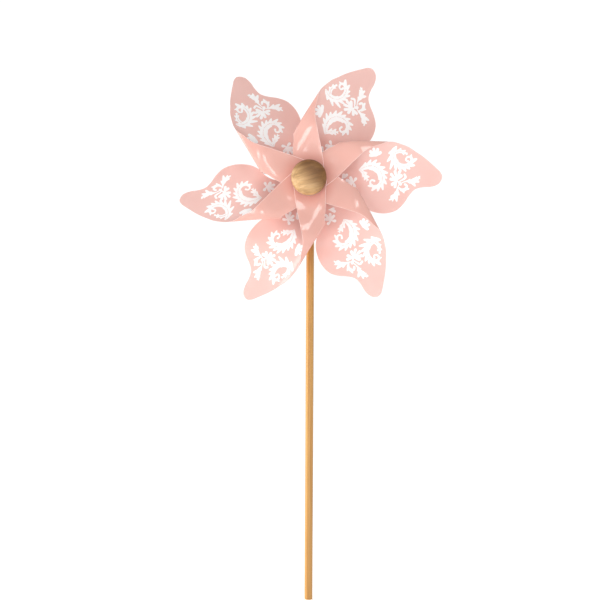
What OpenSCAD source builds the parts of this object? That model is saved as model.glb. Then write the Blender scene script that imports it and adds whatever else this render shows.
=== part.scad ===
// Pinwheel: six rolled sheet blades on a sleeve that spins on a steel pin in a round stick.
// Millimetres, +Z up, origin at the middle of the stick's lower end, the rotor faces -Y.

/* [Rotor] */
// circle through the blade tips
rotor_d = 265.6; // [220:0.1:320]
// from the rear sheets to the front sheets, at the hub
rotor_depth = 27; // [22:0.5:33]
// how far each roll stands off the line through the axle
roll_reach = 33.5; // [28:0.5:40]
// thickness of the sheet
sheet_t = 0.3; // [0.2:0.05:0.4]
// slope of each blade, its rolled side forward
blade_tilt = 29.5; // [22:0.5:36]
// how far the blades rise forward round the hub
rise = 8.5; // [6:0.5:10]
// how far the tips fall back from there
tip_fall = 7.2; // [5:0.1:9]

/* [Hub] */
// rear disc of each blade
rear_disc_d = 26; // [21:0.5:30]
// outside of the sleeve
sleeve_d = 6; // [5:0.5:8]
// flange behind the blades
flange_d = 24; // [18:0.5:30]
// thickness of that flange
flange_t = 1.2; // [0.8:0.1:2]
// outside of the spacer tube
spacer_d = 10; // [8.5:0.5:14]
// outside of the ring in front of the blades
ring_d = 16; // [12:0.5:22]
// thickness of that ring
ring_t = 1.4; // [1:0.1:2]

/* [Front] */
// steel washer behind the knob
washer_d = 34.4; // [28:0.1:42]
// thickness of the washer
washer_t = 1; // [0.6:0.1:2]
// wooden knob
knob_d = 34.5; // [28:0.1:42]
// length of the knob
knob_len = 12; // [10:0.5:16]

/* [Stick] */
// round stick
stick_d = 8; // [6.5:0.1:10]
// from the stick's lower end to the axle
axle_z = 415; // [340:1:500]
// stick above the axle
stick_over = 12; // [9:0.5:16]

/* [Axle] */
// steel pin
axle_d = 3; // [2.5:0.1:3.6]
// head behind the stick
head_d = 7; // [5.5:0.1:9]
// thickness of the head
head_t = 1.2; // [0.8:0.1:2]
// bead between stick and rotor
bead_d = 12; // [10:0.5:14.5]
// length of the bead
bead_len = 13; // [12:0.5:16]

/* [Hidden] */
$fn = 72;

run_gap = 0.05;              // running fit on the pin, on the radius
slide_gap = 0.2;             // between faces that turn past each other
sheet_gap = 0.04;            // between two sheets in a stack
fit_gap = 0.02;              // parts pushed on the sleeve, on the radius
axle_r = axle_d / 2;
sleeve_r = sleeve_d / 2;
blades = 6;
pitch = sheet_t + sheet_gap;
stack = (blades - 1) * pitch + sheet_t;

// places along the axle, forward from its crossing with the stick's middle
bead_f = stick_d / 2 + slide_gap;
rotor_f = bead_f + bead_len + slide_gap;
rear_f = rotor_f + flange_t + sheet_t / 2;           // middle of the rearmost sheet
front_f = rear_f + rotor_depth;                      // the same sheet's front end
ring_f = front_f - sheet_t / 2 + stack;
washer_f = ring_f + ring_t + slide_gap;
knob_f = washer_f + washer_t + slide_gap;
pin_hole = knob_len * 0.62;                          // blind hole in the knob

// forward along the axle
module on_axle(f = 0) translate([0, -f, axle_z]) rotate([90, 0, 0]) children();

// ---- the sheet's roll: straight, half a turn that tightens and eases, straight back ----
function ease(u) = u * u * (3 - 2 * u);
function eased(u) = ease(max(0, min(1, u)));
function bend(u) = 90 * (u + ease(u));
turn_steps = 60;
turn_c = [for (i = 0, s = 0; i <= turn_steps; s = s + cos(bend((i + 0.5) / turn_steps)), i = i + 1)
          s / turn_steps];
turn_w = [for (i = 0, s = 0; i <= turn_steps; s = s + sin(bend((i + 0.5) / turn_steps)), i = i + 1)
          s / turn_steps];
turn_len = rotor_depth / turn_w[turn_steps];
turn_q = roll_reach - turn_len * turn_c[turn_steps / 2];   // where the turn starts
hole_q = 2 * turn_q + turn_len;                            // the front hole, along the sheet
function at(tab, u) = let (x = max(0, min(1, u)) * turn_steps, i = min(floor(x), turn_steps - 1))
    tab[i] + (tab[i + 1] - tab[i]) * (x - i);
function turned(q) = (q - turn_q) / turn_len;
function heading(q) = bend(max(0, min(1, turned(q))));
function across(q) = q < turn_q ? q : turn_q + turn_len * at(turn_c, turned(q)) - max(0, q - turn_q - turn_len);
function ahead(q) = turn_len * at(turn_w, turned(q));

// ---- outline: pairs of points on the sheet's two long edges, along the sheet and outward ----
sheet_q = hole_q / 81.6;     // the pairs below are for a sheet this long between its holes
sheet_d = rotor_d / 265.6;
pairs = [
    [10.0, 9.5, -8.5, 12.0], [10.0, 14.5, -7.2, 19.0], [13.2, 20.0, -7.4, 28.0], [19.0, 24.0, -9.2, 37.0],
    [24.8, 26.8, -14.5, 44.0], [29.5, 29.0, -22.0, 49.5], [33.0, 30.8, -28.0, 57.0], [35.0, 31.6, -31.2, 66.0],
    [36.2, 32.0, -32.0, 76.0], [37.0, 32.3, -29.6, 86.0], [37.6, 32.5, -23.5, 93.5], [38.1, 32.6, -15.5, 99.8],
    [38.5, 32.7, -10.6, 105.5], [38.8, 32.8, -9.0, 113.0], [39.1, 32.8, -8.9, 121.5], [39.3, 32.9, -6.6, 129.0],
    [39.5, 32.9, -1.0, 132.6], [39.7, 33.0, 4.0, 131.0], [39.9, 33.0, 9.0, 126.0], [40.1, 33.0, 14.6, 120.0],
    [40.2, 33.1, 19.0, 115.0], [40.3, 33.1, 22.8, 110.0], [40.4, 33.1, 26.2, 105.0], [40.5, 33.2, 30.1, 100.0],
    [40.6, 33.2, 33.0, 95.0], [40.7, 33.2, 35.9, 90.0], [41.5, 33.0, 41.0, 83.5], [44.5, 31.8, 45.7, 77.5],
    [48.5, 29.2, 50.3, 72.0], [51.5, 25.0, 55.2, 61.0], [53.6, 20.5, 60.0, 54.0], [56.4, 15.5, 66.6, 46.0],
    [59.0, 10.5, 73.1, 38.0], [61.4, 5.5, 79.6, 30.2], [63.8, 0.0, 84.8, 23.2], [65.4, -4.5, 89.4, 16.5]
];
// smooth curve through the pairs
function curve(a, b, c, d, t) = 0.5 * (2 * b + (c - a) * t + (2 * a - 5 * b + 4 * c - d) * t * t
                                       + (3 * b - a - 3 * c + d) * t * t * t);
scaled = [for (p = pairs) [p[0] * sheet_q, p[1] * sheet_d, p[2] * sheet_q, p[3] * sheet_d]];
// chord of a disc about [q, 0]: b is 0 at the end of its axis and 180 at the other, turned by a
function chord(q, r, a, b) = let (p = [cos(a), sin(a)], u = [-sin(a), cos(a)])
    [q + r * (cos(b) * u[0] - sin(b) * p[0]), r * (cos(b) * u[1] - sin(b) * p[1]),
     q + r * (cos(b) * u[0] + sin(b) * p[0]), r * (cos(b) * u[1] + sin(b) * p[1])];
function swapped(p) = [p[2], p[3], p[0], p[1]];
strap_a = 32;
flat = turn_q - 0.4;         // both ends of the sheet stay flat this far from their holes
rear_r = min(rear_disc_d / 2, flat);
ends = concat([for (b = [166:-19:90]) swapped(chord(0, rear_r, 0, b))], [swapped(chord(0, rear_r, 0, 70))],
              scaled, [for (b = [90:19:166]) chord(hole_q, flat, strap_a, b)]);
rows = 60;
cols = 10;
function row(i) = let (n = len(ends) - 1, x = i / rows * n, k = min(floor(x), n - 1))
    curve(ends[max(0, k - 1)], ends[k], ends[k + 1], ends[min(n, k + 2)], x - k);

// round the hub the sheets are flat; further out each rises, slopes and leans back at its tip: each of
// these starts at a radius and is complete after a width
rise_from = [20, 40];
fall_from = [45, 88];
slope_from = [23, 47];
skew = 0.06;                 // turns the roll's line off the radius, about the point this far out
skew_d = 60;
function within(r, from) = eased((r / sheet_d - from[0]) / from[1]);
function raise(r) = rise * within(r, rise_from) - tip_fall * within(r, fall_from);
function slope(r) = tan(blade_tilt) * within(r, slope_from);
// a point of the sheet: q along it, d outward, s from its middle towards the inside of the roll
function spot(q, d, s) = let (
    c = across(q) - s * sin(heading(q)),
    side = c + skew * (skew_d * sheet_d - d) * pow(max(0, c) / roll_reach, 2),
    r = norm([d, side]),
    w = ahead(q) + s * cos(heading(q)) + slope(r) * side * (1 - eased(turned(q))) + raise(r))
    [d, side, w];
function skin(s) = [for (i = [0:rows]) let (e = row(i)) for (j = [0:cols])
    let (v = pow(j / cols, 1.3)) spot(e[0] + (e[2] - e[0]) * v, e[1] + (e[3] - e[1]) * v, s)];

wide = cols + 1;
lots = (rows + 1) * wide;
rim = concat([for (i = [0:rows - 1]) i * wide], [for (j = [0:cols - 1]) rows * wide + j],
             [for (i = [rows:-1:1]) i * wide + cols], [for (j = [cols:-1:1]) j]);
sheet_points = concat(skin(sheet_t / 2), skin(-sheet_t / 2));
sheet_faces = concat(
    [for (i = [0:rows - 1]) for (j = [0:cols - 1]) for (k = [0, 1])
        let (a = i * wide + j) k == 0 ? [a, a + wide, a + wide + 1] : [a, a + wide + 1, a + 1]],
    [for (i = [0:rows - 1]) for (j = [0:cols - 1]) for (k = [0, 1])
        let (a = lots + i * wide + j) k == 0 ? [a, a + wide + 1, a + wide] : [a, a + 1, a + wide + 1]],
    [for (m = [0:len(rim) - 1]) for (k = [0, 1])
        let (a = rim[m], b = rim[(m + 1) % len(rim)])
        k == 0 ? [a, a + lots, b + lots] : [a, b + lots, b]]);

module blade(place, level) {
    on_axle(rear_f + level * pitch) rotate([0, 0, place])
        difference() {
            polyhedron(points = sheet_points, faces = sheet_faces, convexity = 8);
            translate([0, 0, -sheet_t]) cylinder(h = rotor_depth + 2 * sheet_t, r = sleeve_r);
        }
}

// blades stack in turn round the hub, each end on its clockwise neighbour's; they were set by hand,
// so their spacing is a few degrees uneven
module blade_1() color("pink") blade(62, 2);
module blade_2() color("pink") blade(3, 1);
module blade_3() color("pink") blade(301.5, 0);
module blade_4() color("pink") blade(242, 5);
module blade_5() color("pink") blade(187.5, 4);
module blade_6() color("pink") blade(124.5, 3);

module hub_sleeve() color("white") on_axle(rotor_f) difference() {
    union() {
        cylinder(h = flange_t, d = flange_d);
        cylinder(h = ring_f + ring_t - rotor_f, r = sleeve_r);
    }
    translate([0, 0, -1]) cylinder(h = ring_f + ring_t - rotor_f + 2, r = axle_r + run_gap);
}

module spacer_tube() color("white") on_axle(rear_f - sheet_t / 2 + stack) difference() {
    cylinder(h = rotor_depth - stack, d = spacer_d);
    translate([0, 0, -1]) cylinder(h = rotor_depth - stack + 2, r = sleeve_r + fit_gap);
}

module front_ring() color("white") on_axle(ring_f) difference() {
    cylinder(h = ring_t, d = ring_d);
    translate([0, 0, -1]) cylinder(h = ring_t + 2, r = sleeve_r + fit_gap);
}

module front_washer() color("silver") on_axle(washer_f) difference() {
    cylinder(h = washer_t, d = washer_d);
    translate([0, 0, -1]) cylinder(h = washer_t + 2, r = axle_r + run_gap);
}

// rounded bead with flat ends
bead_end = 0.62;             // radius of an end, as a share of the middle's
module rear_bead() color("burlywood") on_axle(bead_f) difference() {
    rotate_extrude() polygon(concat([[0, 0]],
        [for (i = [0:12]) let (a = -60 + 10 * i)
            [bead_d / 2 * (bead_end + (1 - bead_end) * (2 * cos(a) - 1)), bead_len / 2 * (1 + sin(a) / sin(60))]],
        [[0, bead_len]]));
    translate([0, 0, -1]) cylinder(h = bead_len + 2, r = axle_r + run_gap);
}

// turned knob: flat back with an eased edge, a short side and a low dome
knob_side = knob_len * 0.42;
module knob() color("burlywood") on_axle(knob_f) difference() {
    rotate_extrude() polygon(concat([[0, 0], [knob_d / 2 - 0.8, 0], [knob_d / 2 - 0.2, 0.3], [knob_d / 2, 0.9]],
        [for (i = [0:14]) let (a = 90 * i / 14)
            [i == 14 ? 0 : knob_d / 2 * pow(cos(a), 0.55),
             knob_side + (knob_len - knob_side) * pow(sin(a), 1.25)]]));
    translate([0, 0, -1]) cylinder(h = pin_hole + 1, r = axle_r);
}

module axle_pin() color("silver") on_axle(-stick_d / 2 - head_t) {
    cylinder(h = head_t, d = head_d);
    cylinder(h = head_t + stick_d / 2 + knob_f + pin_hole, r = axle_r);
}

edge = 0.6;                  // bevel at the stick's ends
module stick() color("burlywood") difference() {
    union() {
        cylinder(h = edge, d1 = stick_d - 2 * edge, d2 = stick_d);
        translate([0, 0, edge]) cylinder(h = axle_z + stick_over - 2 * edge, d = stick_d);
        translate([0, 0, axle_z + stick_over - edge]) cylinder(h = edge, d1 = stick_d, d2 = stick_d - 2 * edge);
    }
    on_axle(-stick_d) cylinder(h = 2 * stick_d, r = axle_r);
}

stick();
axle_pin();
rear_bead();
front_washer();
knob();
hub_sleeve();
spacer_tube();
front_ring();
blade_1();
blade_2();
blade_3();
blade_4();
blade_5();
blade_6();
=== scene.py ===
import math

import bpy
import numpy as np
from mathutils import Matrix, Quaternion, Vector


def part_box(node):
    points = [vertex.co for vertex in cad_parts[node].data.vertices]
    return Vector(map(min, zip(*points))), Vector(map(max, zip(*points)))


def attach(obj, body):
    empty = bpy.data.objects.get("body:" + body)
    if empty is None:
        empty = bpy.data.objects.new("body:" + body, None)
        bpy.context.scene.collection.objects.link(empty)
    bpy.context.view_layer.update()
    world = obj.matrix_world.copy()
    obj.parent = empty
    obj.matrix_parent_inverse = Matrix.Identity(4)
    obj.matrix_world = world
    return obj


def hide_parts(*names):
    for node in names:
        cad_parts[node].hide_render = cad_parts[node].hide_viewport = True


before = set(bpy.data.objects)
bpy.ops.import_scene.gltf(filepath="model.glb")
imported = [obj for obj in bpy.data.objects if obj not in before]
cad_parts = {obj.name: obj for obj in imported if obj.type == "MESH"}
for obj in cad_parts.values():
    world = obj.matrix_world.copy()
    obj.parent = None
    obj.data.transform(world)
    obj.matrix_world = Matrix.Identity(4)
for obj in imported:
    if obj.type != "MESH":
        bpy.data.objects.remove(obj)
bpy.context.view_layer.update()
mm = 0.001


# ---------- small helpers ----------

def toLinear(hexColour):  # sRGB hex to a linear colour
    values = np.array([int(hexColour[i:i + 2], 16) for i in (0, 2, 4)]) / 255
    linear = np.where(values <= 0.04045, values / 12.92, ((values + 0.055) / 1.055) ** 2.4)
    return (*linear.tolist(), 1.0)


def ease(u):  # 0 to 1 along a smooth step, flat at both ends
    u = np.clip(u, 0, 1)
    return u * u * (3 - 2 * u)


def smoothThrough(points, count):  # Catmull-Rom curve through the points, evenly in their number
    p = np.asarray(points, float)
    x = np.linspace(0, len(p) - 1, count)
    k = np.minimum(x.astype(int), len(p) - 2)
    t = (x - k)[:, None]
    a, b, c, d = p[np.maximum(k - 1, 0)], p[k], p[k + 1], p[np.minimum(k + 2, len(p) - 1)]
    return 0.5 * (2 * b + (c - a) * t + (2 * a - 5 * b + 4 * c - d) * t ** 2
                  + (3 * b - a - 3 * c + d) * t ** 3)


def addNode(tree, kind, settings=None, links=None):  # settings by attribute or input, links by input
    node = tree.nodes.new(kind)
    for name, value in (settings or {}).items():
        if isinstance(name, str) and hasattr(node, name):
            setattr(node, name, value)
        else:
            node.inputs[name].default_value = value
    for name, source in (links or {}).items():
        tree.links.new(source, node.inputs[name])
    return node


def newMaterial(name, base, roughness, **sockets):  # a Principled material and its two handles
    material = bpy.data.materials.new(name)
    material.use_nodes = True
    tree = material.node_tree
    shader = tree.nodes["Principled BSDF"]
    shader.inputs["Base Color"].default_value = toLinear(base)
    shader.inputs["Roughness"].default_value = roughness
    for socket, value in sockets.items():
        shader.inputs[socket.replace("_", " ")].default_value = value
    return material, tree, shader


def roughen(tree, shader, pattern, low, high):  # roughness between two values, by a pattern
    rough = addNode(tree, "ShaderNodeMapRange", {"To Min": low, "To Max": high},
                    {"Value": pattern.outputs["Fac"]})
    tree.links.new(rough.outputs["Result"], shader.inputs["Roughness"])


def roughRelief(tree, shader, pattern, strength, depth):  # a bump from a pattern, depth in metres
    relief = addNode(tree, "ShaderNodeBump", {"Strength": strength, "Distance": depth},
                     {"Height": pattern.outputs["Fac"]})
    tree.links.new(relief.outputs["Normal"], shader.inputs["Normal"])


def makeMesh(name, points, faces, materials, faceMaterial=None, sharpAngle=38):  # smooth, sharp edges kept
    mesh = bpy.data.meshes.new(name)
    mesh.from_pydata(points.tolist(), [], faces.tolist() if isinstance(faces, np.ndarray) else faces)
    for material in materials:
        mesh.materials.append(material)
    if faceMaterial is not None:
        mesh.polygons.foreach_set("material_index", np.asarray(faceMaterial, np.int32))
    mesh.shade_smooth()
    mesh.set_sharp_from_angle(angle=math.radians(sharpAngle))
    mesh.update()
    piece = bpy.data.objects.new(name, mesh)
    bpy.context.scene.collection.objects.link(piece)
    return piece


# ---------- places, read from the frame ----------

sleeveLow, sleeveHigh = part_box("hub_sleeve")
washerLow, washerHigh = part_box("front_washer")
axleHeight = (washerLow.z + washerHigh.z) / 2
rotorFront = -sleeveHigh.y  # where the flange starts, forward from the stick's middle


def onAxle(points):  # x right, y up and z forward from the axle, in mm, to the frame
    p = np.asarray(points, float) * mm
    return np.stack([p[..., 0], -p[..., 2], axleHeight + p[..., 1]], -1)


# ---------- materials ----------

def sheetFinish(name, dull, clear):
    # pink polypropylene sheet, calendered: glossy, faintly wavy and uneven; painted shade makes it darker
    # and redder round the hub, standing in for the shade where the sheets lie on one another and light
    # passes through several
    material, tree, shader = newMaterial(
        name, clear, 0.1, IOR=1.49, Subsurface_Weight=0.06,
        Subsurface_Radius=(0.004, 0.002, 0.0015), Subsurface_Scale=0.2)
    place = addNode(tree, "ShaderNodeTexCoord").outputs["Object"]
    wave = addNode(tree, "ShaderNodeTexNoise", {"Scale": 55.0, "Detail": 1.0}, {"Vector": place})  # 18 mm
    grain = addNode(tree, "ShaderNodeTexNoise", {"Scale": 900.0, "Detail": 2.0}, {"Vector": place})  # 1 mm
    roughen(tree, shader, grain, 0.07, 0.13)
    slow = addNode(tree, "ShaderNodeBump", {"Strength": 0.1, "Distance": 0.0006},
                   {"Height": wave.outputs["Fac"]})
    fine = addNode(tree, "ShaderNodeBump", {"Strength": 0.06, "Distance": 0.0001},
                   {"Height": grain.outputs["Fac"], "Normal": slow.outputs["Normal"]})
    tree.links.new(fine.outputs["Normal"], shader.inputs["Normal"])
    tone = addNode(tree, "ShaderNodeMix", {"data_type": "RGBA"}, {"Factor": wave.outputs["Fac"]})
    tone.inputs["A"].default_value = toLinear(dull)
    tone.inputs["B"].default_value = toLinear(clear)
    middle = addNode(tree, "ShaderNodeVectorMath", {"operation": "SUBTRACT", 1: (0, 0, axleHeight)},
                     {0: place})
    flat = addNode(tree, "ShaderNodeVectorMath", {"operation": "MULTIPLY", 1: (1, 0, 1)},
                   {0: middle.outputs["Vector"]})
    radius = addNode(tree, "ShaderNodeVectorMath", {"operation": "LENGTH"}, {0: flat.outputs["Vector"]})
    # painted shade: within 13 to 33 mm of the axle the colour goes towards a darker, redder pink
    paintedShadeMask = addNode(tree, "ShaderNodeMapRange", {"interpolation_type": "SMOOTHSTEP", "From Min": 0.013,
                      "From Max": 0.033, "To Min": 0.85, "To Max": 0.0}, {"Value": radius.outputs["Value"]})
    paintedShadeColour = addNode(tree, "ShaderNodeMix", {"data_type": "RGBA"}, {"Factor": paintedShadeMask.outputs["Result"],
                     "A": tone.outputs["Result"]})
    paintedShadeColour.inputs["B"].default_value = toLinear("DA9082")
    tree.links.new(paintedShadeColour.outputs["Result"], shader.inputs["Base Color"])
    return material


def edgeFinish():  # die-cut edge of the same sheet: paler pink, on the rim and on a narrow band of each skin beside the cut
    material, tree, shader = newMaterial("cutSheetEdge", "F8D6CE", 0.3, IOR=1.49)
    place = addNode(tree, "ShaderNodeTexCoord").outputs["Object"]
    shear = addNode(tree, "ShaderNodeTexNoise", {"Scale": 1500.0, "Detail": 1.0}, {"Vector": place})
    roughen(tree, shader, shear, 0.3, 0.55)
    return material


def inkFinish():  # white screen ink, rolled on: slightly duller than the sheet and a little uneven
    material, tree, shader = newMaterial("whiteScreenInk", "FCFBFA", 0.38, IOR=1.5)
    place = addNode(tree, "ShaderNodeTexCoord").outputs["Object"]
    mesh = addNode(tree, "ShaderNodeTexNoise", {"Scale": 1400.0, "Detail": 2.0}, {"Vector": place})
    roughen(tree, shader, mesh, 0.32, 0.46)
    tone = addNode(tree, "ShaderNodeMix", {"data_type": "RGBA"}, {"Factor": mesh.outputs["Fac"]})
    tone.inputs["A"].default_value = toLinear("F7F3F1")
    tone.inputs["B"].default_value = toLinear("FFFFFF")
    tree.links.new(tone.outputs["Result"], shader.inputs["Base Color"])
    return material


def woodFinish(name, colours, turned, alongScale, acrossScale, roughness, heartwoodAndPaintedShade=None):
    # straight-grained hardwood: noise drawn out along the grain, in three tones, and fine open pores
    material, tree, shader = newMaterial(name, colours[1], roughness[0], IOR=1.5)
    place = addNode(tree, "ShaderNodeTexCoord").outputs["Object"]
    along = addNode(tree, "ShaderNodeMapping", {"vector_type": "TEXTURE", "Rotation": turned,
                    "Scale": (1 / acrossScale, 1 / acrossScale, 1 / alongScale)}, {"Vector": place})
    years = addNode(tree, "ShaderNodeTexNoise", {"Scale": 1.0, "Detail": 3.0, "Distortion": 0.15},
                    {"Vector": along.outputs["Vector"]})
    ramp = addNode(tree, "ShaderNodeValToRGB", {}, {"Fac": years.outputs["Fac"]})
    ramp.color_ramp.elements[0].position = 0.3
    ramp.color_ramp.elements[0].color = toLinear(colours[0])
    ramp.color_ramp.elements[1].position = 0.72
    ramp.color_ramp.elements[1].color = toLinear(colours[2])
    ramp.color_ramp.elements.new(0.5).color = toLinear(colours[1])
    thin = addNode(tree, "ShaderNodeMapping", {"vector_type": "TEXTURE", "Rotation": turned,
                   "Scale": (1 / acrossScale / 6, 1 / acrossScale / 6, 1 / alongScale / 3)},
                   {"Vector": place})
    pores = addNode(tree, "ShaderNodeTexNoise", {"Scale": 1.0, "Detail": 2.0},
                    {"Vector": thin.outputs["Vector"]})
    dark = addNode(tree, "ShaderNodeMapRange", {"From Min": 0.35, "From Max": 0.65,
                   "To Min": 0.86, "To Max": 1.06}, {"Value": pores.outputs["Fac"]})
    tone = addNode(tree, "ShaderNodeVectorMath", {"operation": "SCALE"},
                   {"Vector": ramp.outputs["Color"], "Scale": dark.outputs["Result"]})
    if heartwoodAndPaintedShade:  # paler on one side and darker on the other: painted light and shade, on the knob partly darker heartwood; a direction, the way across it and the two tints
        uneven = addNode(tree, "ShaderNodeMix", {"data_type": "VECTOR", "Factor": 0.002}, {"A": place,
                         "B": years.outputs["Color"]})
        away = addNode(tree, "ShaderNodeVectorMath", {"operation": "DOT_PRODUCT", 1: heartwoodAndPaintedShade["towards"]},
                       {0: uneven.outputs["Result"]})
        shade = addNode(tree, "ShaderNodeMapRange", {"interpolation_type": "SMOOTHSTEP",
                        "From Min": heartwoodAndPaintedShade["from"], "From Max": heartwoodAndPaintedShade["to"]},
                        {"Value": away.outputs["Value"]})
        tint = addNode(tree, "ShaderNodeMix", {"data_type": "VECTOR", "A": heartwoodAndPaintedShade["pale"],
                       "B": heartwoodAndPaintedShade["dark"]}, {"Factor": shade.outputs["Result"]})
        tone = addNode(tree, "ShaderNodeVectorMath", {"operation": "MULTIPLY"},
                       {0: tone.outputs["Vector"], 1: tint.outputs["Result"]})
    tree.links.new(tone.outputs["Vector"], shader.inputs["Base Color"])
    roughen(tree, shader, pores, roughness[0], roughness[1])
    roughRelief(tree, shader, pores, 0.25, 0.0001)
    return material


def steelFinish():  # zinc-plated pressed steel: fine turning marks round the axle
    material, tree, shader = newMaterial("zincPlatedSteel", "BFC1C2", 0.3, Metallic=1.0)
    place = addNode(tree, "ShaderNodeTexCoord").outputs["Object"]
    centre = addNode(tree, "ShaderNodeMapping", {"Location": (0, 0, -axleHeight)}, {"Vector": place})
    rings = addNode(tree, "ShaderNodeTexWave", {"wave_type": "RINGS", "rings_direction": "Y",
                    "Scale": 120.0, "Distortion": 1.5, "Detail": 2.0}, {"Vector": centre.outputs["Vector"]})
    roughen(tree, shader, rings, 0.24, 0.4)
    roughRelief(tree, shader, rings, 0.1, 0.00005)
    return material


def hubFinish():  # moulded white ABS, fine matte spark-eroded mould surface
    material, tree, shader = newMaterial("mouldedWhiteAbs", "F1EFEB", 0.4, IOR=1.53)
    place = addNode(tree, "ShaderNodeTexCoord").outputs["Object"]
    spark = addNode(tree, "ShaderNodeTexNoise", {"Scale": 2200.0, "Detail": 2.0}, {"Vector": place})
    roughen(tree, shader, spark, 0.34, 0.5)
    roughRelief(tree, shader, spark, 0.12, 0.00005)
    return material


# one pink sheet; the outside skin, which the front flaps show, is given a darker pink than the inside:
# painted shade
insideSheet = sheetFinish("pinkSheetInside", "EABDB4", "EFC6BE")
outsideSheetShaded = sheetFinish("pinkSheetOutsideShaded", "E2AA9D", "E8B4A8")
sheetEdge, whiteInk = edgeFinish(), inkFinish()
# painted side light and shade: the stick paler to the left and darker to the right, as light falls from the
# left
stickPaintedSideShade = {"towards": (1, 0, 0), "from": -0.0016, "to": 0.0003, "pale": (1.16, 1.16, 1.16),
              "dark": (0.84, 0.84, 0.84)}
stickWood = woodFinish("varnishedBirchDowel", ("C48A44", "D59C52", "E2AE66"), (0, 0, 0), 9, 620,
                       (0.3, 0.42), stickPaintedSideShade)
# the knob darker towards its upper right: partly painted shade, with light falling from the lower left, and
# partly darker heartwood
knobHeartwoodAndPaintedShade = {"towards": (0.7, 0, 0.7), "from": 0.7 * axleHeight - 0.0105, "to": 0.7 * axleHeight + 0.0095,
             "pale": (1.15, 1.15, 1.15), "dark": (0.384, 0.277, 0.162)}
knobWood = woodFinish("turnedBeechKnob", ("A67F53", "C69D6B", "D6B182"), (0, math.radians(75), 0), 22, 260,
                      (0.42, 0.56), knobHeartwoodAndPaintedShade)
beadWood = woodFinish("turnedBirchBead", ("D8AE74", "E6C08A", "F0D2A4"), (math.radians(90), 0, 0), 60, 700,
                      (0.4, 0.5))
steel, hubPlastic = steelFinish(), hubFinish()
print("materials made")


# ---------- turned pieces: a profile carried round the axle ----------

def rounded(corners, steps=6):  # (radius, forward, rounding) corners; each corner a parabola
    out = []
    count = len(corners)
    for i, (r, f, fillet) in enumerate(corners):
        here = np.array([r, f], float)
        if fillet <= 0:
            out.append(here[None])
            continue
        before, after = (np.array(corners[(i + k) % count][:2], float) for k in (-1, 1))
        into, away = (before - here), (after - here)
        into, away = into / np.linalg.norm(into), away / np.linalg.norm(away)
        t = np.linspace(0, 1, steps)[:, None]
        start, end = here + into * fillet, here + away * fillet
        out.append((1 - t) ** 2 * start + 2 * t * (1 - t) * here + t ** 2 * end)
    return np.concatenate(out)


def turn(name, profile, material, body, nodes, around=144, closed=True):
    # x, y = radius times cos, sin of the angle, z = forward; closed joins the profile's two ends, and
    # an open profile starts and ends on the axle, where a fan of triangles closes each pole
    angle = np.arange(around) * 2 * math.pi / around
    ring = profile if closed else profile[1:-1]
    grid = np.stack([ring[:, None, 0] * np.cos(angle), ring[:, None, 0] * np.sin(angle),
                     np.broadcast_to(ring[:, None, 1], (len(ring), around))], -1)
    points = grid.reshape(-1, 3)
    rows = len(ring)
    i = np.arange(rows if closed else rows - 1)[:, None]
    j = np.arange(around)[None]
    a, b = i * around + j, i * around + (j + 1) % around
    c, d = (i + 1) % rows * around + (j + 1) % around, (i + 1) % rows * around + j
    faces = np.stack([a, b, c, d], -1).reshape(-1, 4).tolist()
    if not closed:
        first, last = len(points), len(points) + 1
        points = np.vstack([points, [0, 0, profile[0, 1]], [0, 0, profile[-1, 1]]])
        edge = (rows - 1) * around
        faces += [[first, (k + 1) % around, k] for k in range(around)]
        faces += [[last, edge + k, edge + (k + 1) % around] for k in range(around)]
    piece = makeMesh(name, onAxle(points), faces, [material])
    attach(piece, body)
    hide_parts(*nodes)
    return piece


def span(node):  # radius and the two places along the axle of a turned node, in mm
    low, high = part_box(node)
    return (high.x - low.x) / 2 / mm, -high.y / mm, -low.y / mm


hubSizes = {"pinRadius": 1.5, "boreRadius": 1.55, "sleeveRadius": 3.0, "flange": 1.2, "headThick": 1.2,
            "pushFit": 0.02}

radius, back, front = span("front_washer")
turn("washer", rounded([(hubSizes["boreRadius"], back, 0.12), (radius, back, 0.25),
     (radius, front, 0.35), (hubSizes["boreRadius"], front, 0.12)]), steel, "washer",
     ["front_washer"])

radius, back, front = span("rear_bead")
beadShape = {"sweep": 60, "belly": 0.76, "mouth": 0.5}
bulge = np.radians(np.linspace(-beadShape["sweep"], beadShape["sweep"], 33))
beadSide = np.stack([radius * (1 - beadShape["belly"] + beadShape["belly"] * np.cos(bulge)),
                     (back + front) / 2 + (front - back) / 2 * np.sin(bulge) / np.sin(bulge[-1])], -1)
bore, mouth = hubSizes["boreRadius"], beadShape["mouth"]
beadMouth = np.array([[bore + mouth, front], [bore, front - mouth], [bore, back + mouth],
                      [bore + mouth, back]])
turn("bead", np.vstack([beadSide, beadMouth]), beadWood, "bead", ["rear_bead"])

radius, back, front = span("knob")
knobShape = {"side": 0.42, "squareness": 2.5, "holeDepth": 0.62, "edge": 0.9}
shoulder = back + knobShape["side"] * (front - back)
sweep = np.radians(np.linspace(90, 0, 40))  # superellipse quarter from the middle of the face to the side
power = 2 / knobShape["squareness"]
dome = np.stack([radius * np.cos(sweep) ** power,
                 shoulder + (front - shoulder) * np.sin(sweep) ** power], -1)
dome[0, 0] = 0
hole = back + knobShape["holeDepth"] * (front - back)
backEdge = rounded([(radius, shoulder, 0), (radius, back, knobShape["edge"]), (0, back, 0)])[1:-1]
pinHole = [[hubSizes["pinRadius"], back], [hubSizes["pinRadius"], hole], [0, hole]]
knobProfile = np.vstack([dome, backEdge, pinHole])
turn("knob_turned", knobProfile[::-1], knobWood, "frame", ["knob"], around=192, closed=False)

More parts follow.
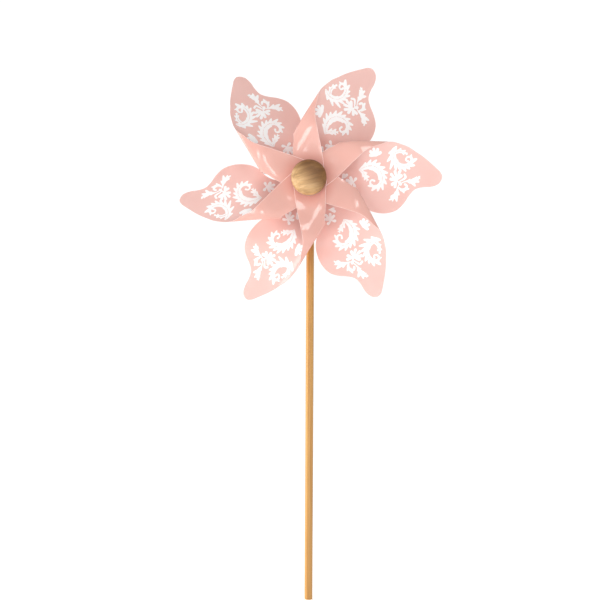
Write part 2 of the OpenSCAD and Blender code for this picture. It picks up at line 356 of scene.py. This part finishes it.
radius, back, front = span("hub_sleeve")
flangeFront = back + hubSizes["flange"]
turn("sleeve", rounded([(hubSizes["boreRadius"], back, 0.15), (radius, back, 0.3),
     (radius, flangeFront, 0.3), (hubSizes["sleeveRadius"], flangeFront, 0),
     (hubSizes["sleeveRadius"], front, 0.25), (hubSizes["boreRadius"], front, 0.15)]), hubPlastic, "rotor",
     ["hub_sleeve"])
for node, fillet in (("spacer_tube", 0.2), ("front_ring", 0.35)):
    radius, back, front = span(node)
    inner = hubSizes["sleeveRadius"] + hubSizes["pushFit"]
    turn(node + "_turned", rounded([(inner, back, 0.08), (radius, back, fillet), (radius, front, fillet),
         (inner, front, 0.08)]), hubPlastic, "rotor", [node])

radius, back, front = span("axle_pin")
headFront = back + hubSizes["headThick"]
turn("pin", rounded([(0, front, 0), (hubSizes["pinRadius"], front, 0.4),
     (hubSizes["pinRadius"], headFront, 0), (radius, headFront, 0.25), (radius, back, 0.45),
     (0, back, 0)])[::-1], steel, "frame", ["axle_pin"], closed=False)
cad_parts["stick"].data.materials.clear()
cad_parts["stick"].data.materials.append(stickWood)
print("turned pieces made")


# ---------- blades: one developable roll, six times ----------

bladeShape = {"reach": 33.5, "depth": 27.0, "sheet": 0.3, "gap": 0.04, "tilt": 29.5, "rise": 8.5,
              "tipFall": 7.2, "rearDisc": 13.0, "strapAngle": 32.0, "pairsLength": 81.6, "beforeTurn": 0.4,
              "lean": 0.06, "leanMiddle": 60}
bladeRanges = {"slope": (23, 47), "rise": (20, 40), "fall": (45, 88)}  # start, length
bladeTurns = {"blade_1": (62, 2), "blade_2": (3, 1), "blade_3": (301.5, 0), "blade_4": (242, 5),
              "blade_5": (187.5, 4), "blade_6": (124.5, 3)}  # angle round the hub, place in the stack
bladeGrid = {"rows": 300, "cols": 98, "edge": 0.4}
edgePairs = np.array([  # left and right edge: along the sheet, outward, twice
    [10.0, 9.5, -8.5, 12.0], [10.0, 14.5, -7.2, 19.0], [13.2, 20.0, -7.4, 28.0], [19.0, 24.0, -9.2, 37.0],
    [24.8, 26.8, -14.5, 44.0], [29.5, 29.0, -22.0, 49.5], [33.0, 30.8, -28.0, 57.0],
    [35.0, 31.6, -31.2, 66.0], [36.2, 32.0, -32.0, 76.0], [37.0, 32.3, -29.6, 86.0],
    [37.6, 32.5, -23.5, 93.5], [38.1, 32.6, -15.5, 99.8], [38.5, 32.7, -10.6, 105.5],
    [38.8, 32.8, -9.0, 113.0], [39.1, 32.8, -8.9, 121.5], [39.3, 32.9, -6.6, 129.0],
    [39.5, 32.9, -1.0, 132.6], [39.7, 33.0, 4.0, 131.0], [39.9, 33.0, 9.0, 126.0],
    [40.1, 33.0, 14.6, 120.0], [40.2, 33.1, 19.0, 115.0], [40.3, 33.1, 22.8, 110.0],
    [40.4, 33.1, 26.2, 105.0], [40.5, 33.2, 30.1, 100.0], [40.6, 33.2, 33.0, 95.0],
    [40.7, 33.2, 35.9, 90.0], [41.5, 33.0, 41.0, 83.5], [44.5, 31.8, 45.7, 77.5],
    [48.5, 29.2, 50.3, 72.0], [51.5, 25.0, 55.2, 61.0], [53.6, 20.5, 60.0, 54.0],
    [56.4, 15.5, 66.6, 46.0], [59.0, 10.5, 73.1, 38.0], [61.4, 5.5, 79.6, 30.2], [63.8, 0.0, 84.8, 23.2],
    [65.4, -4.5, 89.4, 16.5]])

turnSteps = 400
turnMiddles = (np.arange(turnSteps) + 0.5) / turnSteps


def bend(u):  # heading in radians, 0 to half a turn, tightest in the middle
    return math.pi / 2 * (u + ease(u))


turnAcross = np.r_[0, np.cumsum(np.cos(bend(turnMiddles)))] / turnSteps
turnAhead = np.r_[0, np.cumsum(np.sin(bend(turnMiddles)))] / turnSteps
turnAt = np.arange(turnSteps + 1) / turnSteps
turnLength = bladeShape["depth"] / turnAhead[-1]
turnStart = bladeShape["reach"] - turnLength * turnAcross[turnSteps // 2]
holeAlong = 2 * turnStart + turnLength
flatEnd = turnStart - bladeShape["beforeTurn"]


def within(r, name):  # 0 to 1 as the radius crosses a named range
    start, length = bladeRanges[name]
    return ease((r - start) / length)


def sheetSpot(along, outward, lift):
    # the sheet runs straight, turns half a circle that tightens and eases, and runs straight back; it is
    # lifted off its middle towards the inside, sheared sideways outward, sloped and raised by the radius
    u = np.clip((along - turnStart) / turnLength, 0, 1)
    heading = bend(u)
    across = np.where(along < turnStart, along, turnStart + turnLength * np.interp(u, turnAt, turnAcross)
                      - np.maximum(0, along - turnStart - turnLength)) - lift * np.sin(heading)
    rolled = (np.maximum(0, across) / bladeShape["reach"]) ** 2
    side = across + bladeShape["lean"] * (bladeShape["leanMiddle"] - outward) * rolled
    r = np.hypot(outward, side)
    slope = math.tan(math.radians(bladeShape["tilt"])) * within(r, "slope")
    raised = bladeShape["rise"] * within(r, "rise") - bladeShape["tipFall"] * within(r, "fall")
    ahead = turnLength * np.interp(u, turnAt, turnAhead) + lift * np.cos(heading)
    return np.stack([outward, side, ahead + slope * side * (1 - ease(u)) + raised], -1)


def discChords(centre, r, turned, angles):  # chords of a disc round (centre, 0), square to its strap
    a, b = math.radians(turned), np.radians(angles)[:, None]
    chord = np.array([math.cos(a), math.sin(a)])
    strap = np.array([-math.sin(a), math.cos(a)])
    middle = np.array([centre, 0]) + r * np.cos(b) * strap
    return np.hstack([middle - r * np.sin(b) * chord, middle + r * np.sin(b) * chord])


def bladeRows(count):  # the edge pairs with both end discs, smoothed
    rear = discChords(0, bladeShape["rearDisc"], 0, [176, 171, 166, 147, 128, 109, 90, 70])[:, [2, 3, 0, 1]]
    front = discChords(holeAlong, flatEnd, bladeShape["strapAngle"], [90, 109, 128, 147, 166, 171, 176])
    stretch = holeAlong / bladeShape["pairsLength"]
    return smoothThrough(np.vstack([rear, edgePairs * [stretch, 1, stretch, 1], front]), count)


def placed(points, name):  # from the blade's own axes, outward, sideways and forward, to the frame
    angle, level = bladeTurns[name]
    a = math.radians(angle)
    x = points[..., 0] * math.cos(a) - points[..., 1] * math.sin(a)
    y = points[..., 0] * math.sin(a) + points[..., 1] * math.cos(a)
    first = rotorFront / mm + hubSizes["flange"] + bladeShape["sheet"] / 2
    z = points[..., 2] + first + level * (bladeShape["sheet"] + bladeShape["gap"])
    return onAxle(np.stack([x, y, z], -1))


def sheetGrid():  # both skins of the sheet on one grid, and the rim between them
    rows = bladeRows(bladeGrid["rows"])
    width = np.hypot(rows[:, 2] - rows[:, 0], rows[:, 3] - rows[:, 1])[:, None]
    edge = np.minimum(bladeGrid["edge"] / width, 0.2)  # the outer cells are as wide as the paled cut edge
    v = edge + (1 - 2 * edge) * np.linspace(0, 1, bladeGrid["cols"] - 2)
    v = np.hstack([0 * edge, v, 0 * edge + 1])
    along = rows[:, [0]] + (rows[:, [2]] - rows[:, [0]]) * v
    outward = rows[:, [1]] + (rows[:, [3]] - rows[:, [1]]) * v
    n, m = along.shape
    half = bladeShape["sheet"] / 2
    points = np.concatenate([sheetSpot(along, outward, s).reshape(-1, 3) for s in (half, -half)])
    i, j = np.arange(n - 1)[:, None], np.arange(m - 1)[None]
    a = i * m + j
    inside = np.stack([a, a + m, a + m + 1, a + 1], -1).reshape(-1, 4)[:, ::-1]
    outside = inside[:, ::-1] + n * m
    rim = np.concatenate([np.arange(n - 1) * m, (n - 1) * m + np.arange(m - 1),
                          np.arange(n - 1, 0, -1) * m + m - 1, np.arange(m - 1, 0, -1)])
    after = np.roll(rim, -1)
    wall = np.stack([rim, after, after + n * m, rim + n * m], -1)
    kinds = np.zeros((2, n - 1, m - 1), int)
    kinds[1] = 1
    kinds[:, :, [0, -1]] = 2
    return points, np.concatenate([inside, outside, wall]), np.r_[kinds.ravel(), np.full(len(wall), 2)]


sheetPoints, sheetFaces, faceKinds = sheetGrid()
for name in bladeTurns:
    blade = makeMesh(name + "_sheet", placed(sheetPoints, name), sheetFaces,
                     [insideSheet, outsideSheetShaded, sheetEdge], faceKinds)
    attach(blade, "rotor")
    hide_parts(name)
print("blades made", len(sheetFaces), "faces each")


# ---------- print: white acanthus scrolls on the inside of each blade ----------

# every leaf is a spine of nodes: outward, sideways, half-width, and the lobes' length on either side
printLeaves = [
    [(50.2, 9.4, 0.8, 1, 1), (54.6, 11.2, 2.4, 5, 3.6), (60, 12.2, 3, 6, 6.6), (65.8, 11.2, 3.2, 6.2, 8),
     (70.4, 7.4, 3, 6, 6.4), (72.4, 2, 2.6, 5.4, 4), (71.6, -3.4, 2.3, 5.2, 2),
     (67.6, -6.8, 1.9, 4.6, 0.4),
     (62.8, -6.6, 1.4, 3.6, 0), (60.2, -3.4, 1, 1.6, 0), (61.8, -0.8, 0.8, 0, 0),
     (64.4, -1.6, 1.1, 0, 0)],
    [(50.6, 9.2, 0.8, 0, 0), (53.2, 7, 1.6, 3.4, 3.4), (55.6, 3.6, 1.6, 3.4, 3.4),
     (57.4, -0.2, 0.7, 1.4, 1.4)],
    [(87, 28.2, 0.8, 1, 1), (84.4, 24.4, 2.6, 3.6, 5.4), (83.8, 19.4, 3, 3.8, 7.6),
     (85.8, 14.8, 2.6, 3.4, 7.4),
     (89.8, 11.8, 2.3, 1.8, 5.2), (94.8, 10.8, 2.2, 0.8, 4.6), (99.6, 12, 2, 0.4, 4.6),
     (102.4, 15.4, 1.6, 0.2, 4.2),
     (101.2, 18.8, 1.2, 0, 2.4), (97.8, 18.8, 0.9, 0, 0.6), (96.4, 16.4, 0.8, 0, 0),
     (98.6, 15, 1.1, 0, 0)],
    [(85.6, 23, 1.4, 0, 0), (90, 24.4, 1.7, 3.2, 2.6), (94, 23.4, 1.3, 2.4, 2.4),
     (97.8, 21.6, 0.6, 0.6, 0.6)],
    [(90.6, -4.8, 0.5, 0, 0), (95.4, -3.2, 0.6, 0, 0), (99.2, -3, 1.4, 3, 3.2),
     (103.4, -3.4, 2, 4.2, 4.4),
     (107.2, -1.8, 1.4, 2.8, 3), (110, 1, 0.6, 0, 0)],
    [(89.8, -4.8, 0.5, 0, 0), (87.8, -8.2, 0.6, 0, 0), (87.2, -11.6, 1.4, 3, 3), (86, -15.4, 2, 4.4, 4.2),
     (82.8, -18, 1.4, 3, 2.8), (79, -19.6, 0.6, 0, 0)],
    [(88.8, -8.4, 0.6, 0, 0), (91.6, -10.8, 1.4, 0, 3), (95.2, -10.4, 1.6, 0, 3.2),
     (97, -7.4, 1.1, 0, 1.6),
     (95, -5.8, 1.1, 0, 0)],
    [(90, -2.6, 0.6, 0, 0), (93, -1.4, 0.9, 0, 0), (95.8, 0.6, 1.1, 0, 0), (94.8, 3.2, 1.1, 0, 0)]]
# every fan is a centre and the tips of its petals
printFans = [
    [(87, -2), (81, -0.6), (81.6, 3.6), (85.4, 6), (89.6, 5.4), (82.2, -5.4), (85, -7.6),
     (90.6, -5.4), (91.6, 2.2)],
    [(67, 20.6), (61.4, 21.6), (61.6, 24.8), (64.8, 26.8), (68.6, 26.4), (71.2, 23.6)],
    [(43.6, -1.6), (36, -3), (37.4, 1), (41, 3), (39.4, -5.4), (44.6, -5.6), (46, 1.4)],
    [(32.6, 2.4), (34.2, 6.6), (37.2, 6.2)]]
printShape = {"lobeGap": 3.7, "lobeWidth": 1.9, "lobeLengths": (1.2, 0.98, 1.1), "shortest": 0.8,
              "tip": 0.42, "lean": 44.0, "petal": 1.5, "vein": 0.24, "veined": 4, "discs": 12}
printGrid = {"cell": 0.3, "lift": 0.03, "along": (-24, 40), "outward": (30, 113), "snap": 0.7,
             "inside": 0.2, "leastSlope": 0.2}


def leafDiscs(nodes):
    # the body is discs along the spine; each lobe leaves it at a lean and narrows to a round end with the
    # square of the way along it
    line = smoothThrough(nodes, printShape["discs"] * (len(nodes) - 1) + 1)
    run = np.r_[0, np.cumsum(np.hypot(*np.diff(line[:, :2], axis=0).T))]
    roots = np.arange(0.6, run[-1], printShape["lobeGap"])
    heading = np.arctan2(np.gradient(line[:, 1]), np.gradient(line[:, 0]))
    x, y, body, left, right = (np.interp(roots, run, line[:, k]) for k in range(5))
    turned = np.interp(roots, run, np.unwrap(heading))
    t = np.linspace(0, 1, printShape["discs"])
    discs = [line[:, :3]]
    for sign, length in ((1, left), (-1, right)):
        angle = (turned + sign * math.radians(printShape["lean"]))[:, None]
        length = length * np.choose(np.arange(len(roots)) % 3, printShape["lobeLengths"])
        width = np.minimum(printShape["lobeWidth"], 0.4 * length)[:, None]
        lobe = np.stack([x[:, None] + length[:, None] * t * np.cos(angle), y[:, None] + length[:, None] * t
                         * np.sin(angle), width * (1 - (1 - printShape["tip"]) * t ** 2)], -1)
        discs.append(lobe[length > printShape["shortest"]].reshape(-1, 3))
    return np.vstack(discs)


def fanDiscs(points):  # petals from the first point, each swelling to a round end
    t = np.linspace(0, 1, printShape["discs"])[:, None]
    centre = np.array(points[0], float)
    return np.vstack([np.hstack([centre + (np.array(tip) - centre) * t,
                                 printShape["petal"] * (0.3 + 0.7 * ease(t))]) for tip in points[1:]])


def discDistance(x, y, discs):  # distance to the nearest disc, negative inside it
    nearest = np.full(x.shape, 1e9)
    for disc in discs:
        nearest = np.minimum(nearest, np.hypot(x - disc[0], y - disc[1]) - disc[2])
    return nearest


def inkDistance(along, outward):  # negative under the ink; the pattern is laid out on the formed blade
    side = sheetSpot(along, outward, bladeShape["sheet"] / 2)[..., 1]
    ink = np.vstack([leafDiscs(leaf) for leaf in printLeaves] + [fanDiscs(fan) for fan in printFans])
    veins = np.vstack([smoothThrough(leaf, 12 * len(leaf))[:7 * len(leaf), :3]  # a bit over half the spine
                       for leaf in printLeaves[:printShape["veined"]]])
    veins[:, 2] = printShape["vein"]
    return np.maximum(discDistance(outward, side, ink), -discDistance(outward, side, veins))


def printFilm():
    # a grid of cells over the sheet: corners near the ink's edge slide onto it down the slope of the
    # distance, and the cells inside it are kept
    cell = printGrid["cell"]
    q, d = np.meshgrid(np.arange(*printGrid["along"], cell), np.arange(*printGrid["outward"], cell),
                       indexing="ij")
    away = inkDistance(q, d)
    slopeQ, slopeD = np.gradient(away, cell)
    steep = np.maximum(slopeQ ** 2 + slopeD ** 2, printGrid["leastSlope"])
    snap, inner = printGrid["snap"] * cell, printGrid["inside"] * cell
    near = np.abs(away) < snap
    q = q - np.where(near, away * slopeQ / steep, 0)
    d = d - np.where(near, away * slopeD / steep, 0)
    corners = np.stack([away[:-1, :-1], away[1:, :-1], away[1:, 1:], away[:-1, 1:]])
    kept = (corners.max(0) < snap) & (corners.min(0) < -inner)
    n, m = q.shape
    i, j = np.nonzero(kept)
    a = i * m + j
    faces = np.stack([a, a + 1, a + m + 1, a + m], -1)
    used, faces = np.unique(faces, return_inverse=True)
    points = sheetSpot(q.ravel()[used], d.ravel()[used], bladeShape["sheet"] / 2 + printGrid["lift"])
    return points, faces.reshape(-1, 4)


filmPoints, filmFaces = printFilm()
for name in bladeTurns:
    film = makeMesh(name + "_print", placed(filmPoints, name), filmFaces, [whiteInk])
    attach(film, "rotor")
print("print made", len(filmFaces), "cells each")


# ---------- room: floor, lights and camera ----------

def floorTable():  # a round table top of opal acrylic, lit from below: a wide disc at z = 0
    angle = np.radians(np.arange(0, 360, 5))
    points = np.vstack([[0, 0, 0], np.stack([tableShape["radius"] * np.cos(angle),
                        tableShape["radius"] * np.sin(angle), 0 * angle], -1)])
    k = np.arange(len(angle))
    faces = np.stack([0 * k, 1 + k, 1 + (k + 1) % len(angle)], -1)
    material, tree, shader = newMaterial("opalAcrylicTable", "FDFDFD", 0.7,
                                         Emission_Strength=tableShape["glow"])
    shader.inputs["Emission Color"].default_value = (1, 1, 1, 1)
    place = addNode(tree, "ShaderNodeTexCoord").outputs["Object"]
    dust = addNode(tree, "ShaderNodeTexNoise", {"Scale": 40.0}, {"Vector": place})
    roughen(tree, shader, dust, 0.6, 0.8)
    makeMesh("studioFloor", points, faces, [material])


def softbox(name, spot, target, size, radiance, roll=0):  # power = radiance times pi times area
    light = bpy.data.lights.new(name, "AREA")
    light.shape, light.size, light.size_y = "RECTANGLE", size[0], size[1]
    light.energy = radiance * math.pi * size[0] * size[1]
    lamp = bpy.data.objects.new(name, light)
    bpy.context.scene.collection.objects.link(lamp)
    lamp.location = spot
    facing = Vector((target - spot).tolist()).to_track_quat("-Z", "Y")
    lamp.rotation_euler = (facing @ Quaternion((0, 0, 1), math.radians(roll))).to_euler()


tableShape = {"radius": 6.0, "glow": 0.4}
roomLight = {"left": 0.92, "right": 0.5, "top": 0.72, "behind": 1.06}
middle = np.array([0, -0.03, axleHeight])
world = bpy.data.worlds.new("studio")
world.use_nodes = True
bpy.context.scene.world = world
bpy.context.scene.view_settings.view_transform = "Standard"


def studioWorld(tree):  # a white tent: brighter to the left, duller to the right and above, white behind
    sky = addNode(tree, "ShaderNodeTexCoord").outputs["Generated"]
    way = addNode(tree, "ShaderNodeSeparateXYZ", {}, {"Vector": sky})
    across = addNode(tree, "ShaderNodeMapRange", {"From Min": -1.0, "From Max": 1.0,
                     "To Min": roomLight["left"], "To Max": roomLight["right"]},
                     {"Value": way.outputs["X"]})
    upward = addNode(tree, "ShaderNodeMapRange", {"From Min": 0.0, "From Max": 1.0, "To Min": 1.0,
                     "To Max": roomLight["top"]}, {"Value": way.outputs["Z"]})
    front = addNode(tree, "ShaderNodeMath", {"operation": "MULTIPLY"}, {0: across.outputs["Result"],
                    1: upward.outputs["Result"]})
    backward = addNode(tree, "ShaderNodeMapRange", {"interpolation_type": "SMOOTHSTEP", "From Min": 0.1,
                       "From Max": 0.7}, {"Value": way.outputs["Y"]})
    strength = addNode(tree, "ShaderNodeMix", {"data_type": "FLOAT", "B": roomLight["behind"]},
                       {"Factor": backward.outputs["Result"], "A": front.outputs["Value"]})
    background = tree.nodes["Background"]
    background.inputs["Color"].default_value = (1, 1, 1, 1)
    tree.links.new(strength.outputs["Result"], background.inputs["Strength"])


def towards(azimuth, elevation, distance=1.4):  # a place out from the rotor, azimuth right of the front
    a, e = math.radians(azimuth), math.radians(elevation)
    return middle + distance * np.array([math.sin(a) * math.cos(e), -math.cos(a) * math.cos(e),
                                         math.sin(e)])


studioWorld(world.node_tree)
floorTable()
softbox("leftBox", towards(-15, -9), middle, (0.24, 0.34), 7.0)
softbox("upperBox", towards(7.5, 29), middle, (0.26, 0.34), 7.0)
softbox("lowerBox", towards(4, -14), middle, (0.2, 0.29), 7.0)
softbox("sideBox", towards(-80, 4, 1.2), middle, (0.35, 1.0), 4.2)

camera = bpy.data.objects.new("camera", bpy.data.cameras.new("camera"))
bpy.context.scene.collection.objects.link(camera)
camera.data.lens, camera.data.sensor_width = 60, 36
camera.data.clip_start = 0.05
camera.location = (0.03079, -1.01553, axleHeight - 0.18508)
camera.rotation_euler = [math.radians(a) for a in (93.8939, -0.3308, 2.2864)]
bpy.context.scene.camera = camera
